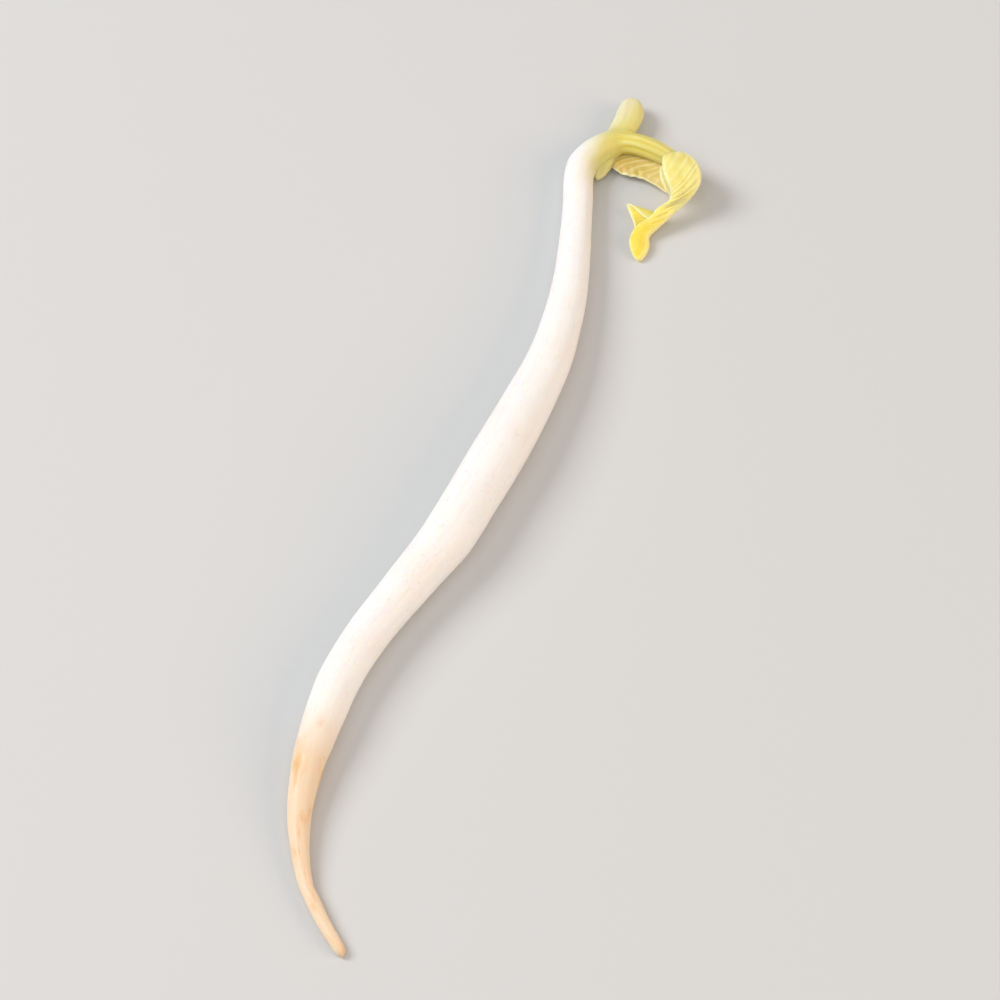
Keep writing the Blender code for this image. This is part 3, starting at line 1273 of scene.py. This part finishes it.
@dataclass(frozen=True)
class FoldedBlade:
    """A blade folded along its midrib. Each half hangs between the midrib and its own margin.

    Along the blade a place t runs from 0 at its base to 1 at its tip. Across it a place s runs from -1 on
    the lower margin, through 0 on the midrib, to 1 on the upper margin.

    Attributes:
        midrib, upper, lower: stations of the three rails, each x, y and height.
        puff: how far the upper and the lower half belly out.
        full_width: the width at which a half bellies and pleats in full.
        thickness, least_thickness, least_end: the blade's, and its shares at the margins and the ends.
        margin_round, end_round: how much of the width and of the length is rounded off.
        rib_rise, vein_rise: how far the midrib and the side veins stand out.
        vein_gap, vein_width, rib_width: from vein to vein, and their half widths.
        vein_lean: how far the veins run forward on their way out, and how much they curve.
        vein_swings: the gaps' unevenness, in waves of a size, a rate and a shift.
        vein_shift: how far the lower half's veins are out of step, in gaps.
        vein_taper, vein_widths: the veins' loss at the margin, and the widths of a half at which they start.
        tip_fade: where the crumpled tip half starts, and where it has lost its share of the features.
        vein_loss, quilt_loss, pleat_loss: that share.
        quilt, quilt_start, quilt_widths: how deep the blade sinks between its veins, and where it starts to.
        pleat, pleat_waves: how deep the pleats are, and how fast they turn across and along.
        fold, fold_share: the radius of the fold at the midrib, and the most of a half's width that it takes.
        wave, wave_rates: how far the margin waves, how fast, how unevenly and how fast that changes.
        rim: where the pale rim starts and is full.
        ripe, ripening: how deep a yellow the base and the tip turn, partly the blade's own colour and partly
            painted shade, and where the one passes into the other.
        rows, columns: the mesh's faces along and across.
    """

    midrib: Stations
    upper: Stations
    lower: Stations
    puff: Pair = (0.30, -0.20)
    full_width: float = 2.0
    thickness: float = 0.13
    least_thickness: float = 0.04
    least_end: float = 0.15
    margin_round: float = 0.06
    end_round: float = 0.03
    rib_rise: float = 0.07
    vein_rise: float = 0.020
    vein_gap: float = 0.66
    vein_width: float = 0.08
    rib_width: float = 0.16
    vein_lean: Pair = (1.25, -0.16)
    vein_swings: tuple[Triple, ...] = ((0.14, 2.3, 0.7), (0.08, 5.1, 0.0))
    vein_shift: float = 0.4
    vein_taper: float = 0.55
    vein_widths: Pair = (0.25, 0.9)
    tip_fade: Pair = (0.50, 0.72)
    vein_loss: float = 0.85
    quilt_loss: float = 0.7
    pleat_loss: float = 0.8
    quilt: float = 0.045
    quilt_start: float = 0.3
    quilt_widths: Pair = (0.2, 1.2)
    pleat: float = 0.05
    pleat_waves: Pair = (3.0 * math.pi, 2.0)
    fold: float = 0.10
    fold_share: float = 0.4
    wave: float = 0.05
    wave_rates: Triple = (34.0, 5.0, 9.0)
    rim: Pair = (0.86, 0.98)
    ripe: Pair = (0.1, 0.5)
    ripening: Pair = (0.25, 0.75)
    rows: int = 340
    columns: int = 100

    def _rails(self, t: np.ndarray) -> list[np.ndarray]:
        """Points on the midrib, the upper margin and the lower margin."""
        return [Course(stations).at(t) for stations in (self.midrib, self.upper, self.lower)]

    def _kept(self, t: np.ndarray, loss: float) -> np.ndarray:
        """The share of a feature that is left along the blade."""
        return 1.0 - loss * smooth_step(t, *self.tip_fade)[:, None]

    def middle_surface(self, t: np.ndarray, s: np.ndarray) -> np.ndarray:
        """The surface midway through the blade.

        Args:
            t: places along.
            s: places across.

        Returns:
            The surface's points, one row for each place along.
        """
        rib, high, low = (points[:, None] for points in self._rails(t))
        to_high = np.maximum(s, 0.0)[None, :, None]
        to_low = np.maximum(-s, 0.0)[None, :, None]
        points = rib + (high - rib) * to_high + (low - rib) * to_low + self._bend(rib, high, low, s)
        forward = unit(np.gradient(rib[:, 0], axis=0))
        reach = np.abs(s)
        belly = 4.0 * reach * (1.0 - reach)
        dips = self.quilt * self._quilting(t, s)
        across, along = self.pleat_waves
        pleats = self.pleat * self._kept(t, self.pleat_loss) * np.sin(across * reach + along * t[:, None])
        rate, unevenness, change = self.wave_rates
        ruffle = self.wave * np.sin(rate * t + unevenness * np.sin(change * t))[:, None] * reach**3
        for margin, puff, half in ((high, self.puff[0], s >= 0), (low, self.puff[1], s < 0)):
            out = unit(np.cross(forward, (margin - rib)[:, 0]))
            out = out * np.sign(out[:, 2:3] + TINY)
            width = np.linalg.norm((margin - rib)[:, 0], axis=1)
            breadth = np.minimum(width / self.full_width, 1.0)[:, None]
            lift = breadth * ((puff + pleats) * belly + ruffle)
            lift = (lift - dips * math.copysign(1.0, puff)) * half
            points = points + out[:, None] * lift[..., None]
        return points

    def _bend(self, rib: np.ndarray, high: np.ndarray, low: np.ndarray, s: np.ndarray) -> np.ndarray:
        """How the halves spread apart from the midrib, along a half circle, so that the fold is round.

        Args:
            rib: the midrib's points.
            high: the upper margin's points.
            low: the lower margin's points.
            s: places across.

        Returns:
            The shift of each point.
        """
        s = s[None, :, None]
        apart = unit(unit(high - rib) - unit(low - rib))
        widths = [np.linalg.norm(margin - rib, axis=-1, keepdims=True) for margin in (high, low)]
        width = np.where(s >= 0, *widths)
        radius = np.minimum(self.fold, self.fold_share * width)
        left = np.clip(1.0 - np.abs(s) * width / np.maximum(radius, TINY), 0.0, 1.0)
        return apart * radius * np.sqrt(1.0 - left**2) * np.sign(s)

    def _flow(self, t: np.ndarray, s: np.ndarray) -> tuple[np.ndarray, np.ndarray, np.ndarray]:
        """Follow the side veins over the blade.

        Args:
            t: places along.
            s: places across.

        Returns:
            How many veins come before each point, how far the point is from the midrib, and the width of its
            half of the blade.
        """
        rib, high, low = self._rails(t)
        length = np.concatenate([[0.0], np.cumsum(np.linalg.norm(np.diff(rib, axis=0), axis=1))])
        widths = [np.linalg.norm(margin - rib, axis=1)[:, None] for margin in (high, low)]
        width = np.where(s >= 0, *widths)
        off = np.abs(s) * width
        back = length[:, None] - self.vein_lean[0] * off - self.vein_lean[1] * off**2
        back = back + sum(size * np.sin(rate * back + shift) for size, rate, shift in self.vein_swings)
        return back / self.vein_gap + np.where(s >= 0, 0.0, self.vein_shift), off, width

    def _quilting(self, t: np.ndarray, s: np.ndarray) -> np.ndarray:
        """How deep the blade sinks between its veins.

        Args:
            t: places along.
            s: places across.

        Returns:
            A share of the full depth for each point, 0 on a vein and at the margin.
        """
        phase, off, width = self._flow(t, s)
        sink = np.sin(math.pi * phase) ** 2 * np.minimum(off / self.quilt_start, 1.0) * (1.0 - s**4)
        return sink * smooth_step(width, *self.quilt_widths) * self._kept(t, self.quilt_loss)

    def veins(self, t: np.ndarray, s: np.ndarray) -> tuple[np.ndarray, np.ndarray]:
        """How near the blade's points are to its veins.

        Args:
            t: places along.
            s: places across.

        Returns:
            The nearness to a side vein and to the midrib, each 1 on the vein.
        """
        phase, off, width = self._flow(t, s)
        gap = np.abs(phase - np.round(phase)) * self.vein_gap
        side_veins = np.exp(-((gap / self.vein_width) ** 2)) * (1.0 - self.vein_taper * np.abs(s))
        side_veins = side_veins * smooth_step(width, *self.vein_widths) * self._kept(t, self.vein_loss)
        return side_veins, np.exp(-((off / self.rib_width) ** 2))

    def loft(self) -> tuple[Loft, dict[str, np.ndarray]]:
        """Close the blade's skin round its two sides.

        Returns:
            The skin and the values of vein, rim and ripe on its rings.
        """
        t = np.linspace(0.0, 1.0, self.rows)
        s = np.linspace(-1.0, 1.0, self.columns + 1)
        s = s * np.sqrt(np.abs(s))
        grid = self.middle_surface(t, s)
        normal = unit(np.cross(np.gradient(grid, axis=0), np.gradient(grid, axis=1)))
        side_veins, main_rib = self.veins(t, s)
        inward = np.minimum((1.0 - np.abs(s)) / self.margin_round, 1.0)
        shape = np.sqrt(1.0 - (1.0 - inward) ** 2)
        half = self.thickness / 2 * (self.least_thickness + (1.0 - self.least_thickness) * shape)
        half = half + (self.vein_rise * side_veins + self.rib_rise * main_rib) * shape
        from_end = np.sqrt(np.minimum(np.minimum(t, 1.0 - t) / self.end_round, 1.0))
        half = half * (self.least_end + (1.0 - self.least_end) * from_end)[:, None]

        ring = np.arange(2 * self.columns)
        pick = np.abs(ring - self.columns)
        face = np.where(ring < self.columns, 1.0, -1.0)
        face[[0, self.columns]] = 0.0
        rings = grid[:, pick] + normal[:, pick] * (half[:, pick] * face)[..., None]
        # How far the blade turns deep yellow along its length: partly its own colour, partly painted shade.
        at_base, at_tip = self.ripe
        ripe = at_base + (at_tip - at_base) * smooth_step(t, *self.ripening)
        shape = (self.rows, len(ring))
        values = {
            "vein": np.clip(side_veins + main_rib, 0.0, 1.0)[:, pick],
            "rim": np.broadcast_to(smooth_step(np.abs(s), *self.rim)[pick], shape),
            "ripe": np.broadcast_to(ripe[:, None], shape),
        }
        return Loft(rings), values


def blades_object(name: str, blades: list[FoldedBlade], material: bpy.types.Material) -> bpy.types.Object:
    """Make one mesh object of one or more blades.

    Args:
        name: the object's name.
        blades: the blades.
        material: their finish.

    Returns:
        The object.
    """
    points, faces, values = [], [], {}
    count = 0
    for blade in blades:
        loft, rows = blade.loft()
        faces += loft.faces(count)
        points.append(loft.points())
        count += len(points[-1])
        for key, row in rows.items():
            values.setdefault(key, []).append(loft.spread(row))
    piece = new_mesh_object(name, np.vstack(points), faces)
    piece.data.materials.append(material)
    for key, rows in values.items():
        write_attribute(piece.data, key, np.concatenate(rows))
    return piece


@dataclass(frozen=True)
class PrimaryLeaf:
    """One of the two first true leaves, still crumpled as it came out of the seed."""

    name: str
    blade: FoldedBlade
    finish: BladeFinish
    slot: Slot = Slot.LEAF

    def build(self) -> bpy.types.Object:
        """Make the leaf and put it in its node's place."""
        piece = blades_object(self.name + "_blade", [self.blade], self.finish.make())
        return adopt(piece, self.slot, self.name)


@dataclass(frozen=True)
class TerminalBud:
    """The shoot's growing point, wrapped in a few pointed scales.

    Each of the scales has a turn round the bud's axis and a share of its length. A scale's outline gives
    its width at places along it. Its midrib stands out at the crown, and its margins lie at the hem.
    """

    finish: BladeFinish
    name: str = "terminal_bud"
    slot: Slot = Slot.SHOOT
    base: Triple = (9.12, 18.44, 1.55)
    tip: Triple = (10.02, 18.46, 2.14)
    scales: tuple[Pair, ...] = ((0.0, 1.0), (2.2, 0.85), (4.1, 0.75))
    outline: tuple[Pair, ...] = ((0.0, 0.4), (0.35, 1.0), (0.7, 0.75), (1.0, 0.06))
    half_width: float = 0.18
    crown: float = 0.18
    hem: float = 0.036

    def _scale(self, turn: float, reach: float) -> FoldedBlade:
        """One scale of the bud.

        Args:
            turn: its turn round the bud's axis, in radians.
            reach: how much of the bud's length it has.

        Returns:
            The scale.
        """
        base = np.array(self.base)
        along = np.array(self.tip) - base
        side = unit(np.cross(unit(along), UP))
        out = side * math.cos(turn) + np.cross(side, unit(along)) * math.sin(turn)
        wing = np.cross(unit(along), out) * self.half_width
        rails = (
            tuple(tuple(base + along * reach * place + aside * width) for place, width in self.outline)
            for aside in (out * self.crown, out * self.hem + wing, out * self.hem - wing)
        )
        return FoldedBlade(
            *rails,
            puff=(0.03, 0.03),
            thickness=0.09,
            rib_rise=0.03,
            vein_rise=0.01,
            vein_gap=0.2,
            quilt=0.0,
            pleat=0.0,
            fold=0.06,
            wave=0.0,
            rows=60,
            columns=24,
        )

    def build(self) -> bpy.types.Object:
        """Make the bud and put it in its node's place.

        Returns:
            The finished piece.
        """
        blades = [self._scale(turn, reach) for turn, reach in self.scales]
        piece = blades_object(self.name + "_scales", blades, self.finish.make())
        return adopt(piece, self.slot, self.name)


FRONT_LEAF = FoldedBlade(
    midrib=(
        (9.17, 18.50, 1.62),
        (9.80, 18.52, 1.95),
        (10.50, 17.77, 2.30),
        (10.89, 16.72, 2.45),
        (10.85, 15.83, 2.25),
        (10.29, 15.12, 1.80),
        (9.38, 14.45, 1.30),
        (8.70, 13.85, 0.95),
        (8.05, 13.35, 0.65),
        (7.44, 12.70, 0.46),
        (7.42, 12.02, 0.36),
        (7.22, 11.40, 0.26),
        (6.80, 10.86, 0.16),
    ),
    upper=(
        (8.96, 18.49, 1.75),
        (8.54, 18.08, 2.10),
        (8.43, 16.98, 2.45),
        (8.65, 15.95, 2.45),
        (8.96, 15.26, 2.10),
        (8.89, 14.80, 1.65),
        (8.12, 14.40, 1.25),
        (7.45, 13.95, 0.95),
        (6.78, 13.50, 0.68),
        (6.36, 12.90, 0.50),
        (6.18, 12.26, 0.40),
        (6.32, 11.52, 0.28),
        (6.72, 10.90, 0.16),
    ),
    lower=(
        (8.96, 18.53, 1.45),
        (8.40, 17.91, 1.60),
        (8.26, 16.95, 1.75),
        (8.54, 15.96, 1.70),
        (8.89, 15.32, 1.40),
        (8.40, 14.76, 1.10),
        (7.45, 14.05, 0.82),
        (6.02, 15.20, 0.72),
        (6.50, 13.72, 0.42),
        (6.42, 12.86, 0.28),
        (6.26, 12.22, 0.18),
        (6.38, 11.52, 0.13),
        (6.74, 10.90, 0.11),
    ),
    # Deeper yellow towards the tip: the strip's own deep yellow, and painted shade on the tip lobe.
    ripe=(0.05, 0.8),
)

BACK_LEAF = FoldedBlade(
    midrib=(
        (9.24, 18.43, 1.35),
        (8.54, 18.59, 1.00),
        (7.70, 18.97, 0.70),
        (6.72, 19.45, 0.50),
        (5.60, 19.68, 0.42),
        (4.70, 19.27, 0.40),
    ),
    upper=(
        (9.17, 17.68, 1.20),
        (8.96, 16.21, 0.62),
        (7.98, 16.98, 0.50),
        (7.04, 17.62, 0.42),
        (5.72, 18.05, 0.40),
        (4.70, 19.11, 0.38),
    ),
    lower=(
        (9.14, 17.98, 1.05),
        (8.90, 16.61, 0.42),
        (7.98, 17.28, 0.30),
        (7.10, 17.92, 0.24),
        (5.85, 18.37, 0.24),
        (4.73, 19.20, 0.28),
    ),
    puff=(0.16, -0.02),
    rib_rise=0.02,
    vein_rise=0.010,
    vein_lean=(2.6, -0.5),
    vein_gap=0.80,
    tip_fade=(1.0, 1.2),
    quilt=0.025,
    pleat=0.03,
    # Deep yellow all over: painted shade, for the leaf lies in the shadow under the arching shoot.
    ripe=(0.75, 1.0),
    rows=180,
    columns=170,
)


# --- The studio ------------------------------------------------------------------------------------------


@dataclass(frozen=True)
class Stand:
    """A place round the sprout. An azimuth of 0 degrees is in front of it, and 90 is on its right."""

    azimuth: float
    elevation: float
    distance: float

    def hold(self, thing: bpy.types.Object, target: Vector) -> None:
        """Put a lamp or a camera here, facing the sprout.

        Args:
            thing: the lamp or the camera.
            target: the middle of the sprout.
        """
        turn, rise = math.radians(self.azimuth), math.radians(self.elevation)
        back = Vector((math.sin(turn) * math.cos(rise), -math.cos(turn) * math.cos(rise), math.sin(rise)))
        thing.location = target + back * self.distance
        thing.rotation_euler = (-back).to_track_quat("-Z", "Y").to_euler()


@dataclass(frozen=True)
class Lamp:
    """A soft square lamp that faces the sprout."""

    name: str
    stand: Stand
    size: float
    power: float
    colour: Colour

    def build(self, target: Vector) -> None:
        """Hang the lamp.

        Args:
            target: the middle of the sprout.
        """
        light = bpy.data.lights.new(self.name, "AREA")
        light.shape = "SQUARE"
        light.size = self.size
        light.energy = self.power
        light.color = self.colour
        self.stand.hold(new_object(self.name, light), target)


@dataclass(frozen=True)
class Studio:
    """The floor, the lamps and the camera."""

    floor_size: float = 1.6
    floor_finish: FloorFinish = FloorFinish()
    lamps: tuple[Lamp, ...] = (
        Lamp("key", Stand(-105.0, 42.0, 0.55), 0.26, 2.0, (1.0, 0.985, 0.96)),
        Lamp("front", Stand(-10.0, 58.0, 0.60), 0.50, 0.80, (1.0, 0.99, 0.98)),
        Lamp("warm_fill", Stand(75.0, 28.0, 0.60), 0.35, 1.6, (1.0, 0.72, 0.47)),
    )
    sky: Colour = (0.93, 0.96, 1.0)
    sky_strength: float = 0.43
    tripod: Stand = Stand(0.0, 55.0, 0.46)
    view_height: float = 0.0655
    sensor: float = 36.0
    nearest: float = 0.01

    def build(self) -> None:
        """Set up the studio round the sprout."""
        low, high = CAD_BOX
        target = (low + high) / 2
        self._lay_floor(low.z)
        for lamp in self.lamps:
            lamp.build(target)
        world = bpy.data.worlds.new("studio")
        world.use_nodes = True
        sky = world.node_tree.nodes["Background"]
        sky.inputs["Color"].default_value = (*self.sky, 1.0)
        sky.inputs["Strength"].default_value = self.sky_strength
        bpy.context.scene.world = world
        bpy.context.scene.view_settings.view_transform = "Standard"
        lens = bpy.data.cameras.new("camera")
        lens.sensor_width = self.sensor
        lens.lens = self.sensor * self.tripod.distance / self.view_height
        lens.clip_start = self.nearest
        camera = new_object("camera", lens)
        self.tripod.hold(camera, target)
        bpy.context.scene.camera = camera

    def _lay_floor(self, height: float) -> None:
        """Lay the floor.

        Args:
            height: the height of the ground that the sprout lies on.
        """
        half = self.floor_size / 2
        corners = [(x, y, height) for x, y in ((-half, -half), (half, -half), (half, half), (-half, half))]
        mesh = bpy.data.meshes.new("floor")
        mesh.from_pydata(corners, [], [(0, 1, 2, 3)])
        mesh.materials.append(self.floor_finish.make())
        new_object("floor", mesh)


def main() -> None:
    """Build the sprout and its studio, and log each piece's face count."""
    anatomy = Anatomy()
    lower_seed_leaf = SeedLeaf(
        "cotyledon_lower",
        anatomy,
        FleshFinish("seed_leaf_thin"),
        rings=90,
        segments=64,
        groove=0.02,
        wrinkle=0.008,
        seed=7.0,
    )
    makers = (
        Axis(anatomy, FleshFinish("axis_flesh")),
        SeedLeaf("cotyledon_upper", anatomy, FleshFinish("seed_leaf_green")),
        lower_seed_leaf,
        PrimaryLeaf("primary_leaf_front", FRONT_LEAF, BladeFinish("leaf_yellow", deep=(0.92, 0.68, 0.025))),
        PrimaryLeaf("primary_leaf_back", BACK_LEAF, BladeFinish("leaf_yellow_back")),
        TerminalBud(BladeFinish("bud_yellow")),
    )
    for maker in makers:
        piece = maker.build()
        log.info("%s: %d faces", piece.name, len(piece.data.polygons))
    Studio().build()


if __name__ == "__main__":
    logging.basicConfig(level=logging.INFO)
    main()
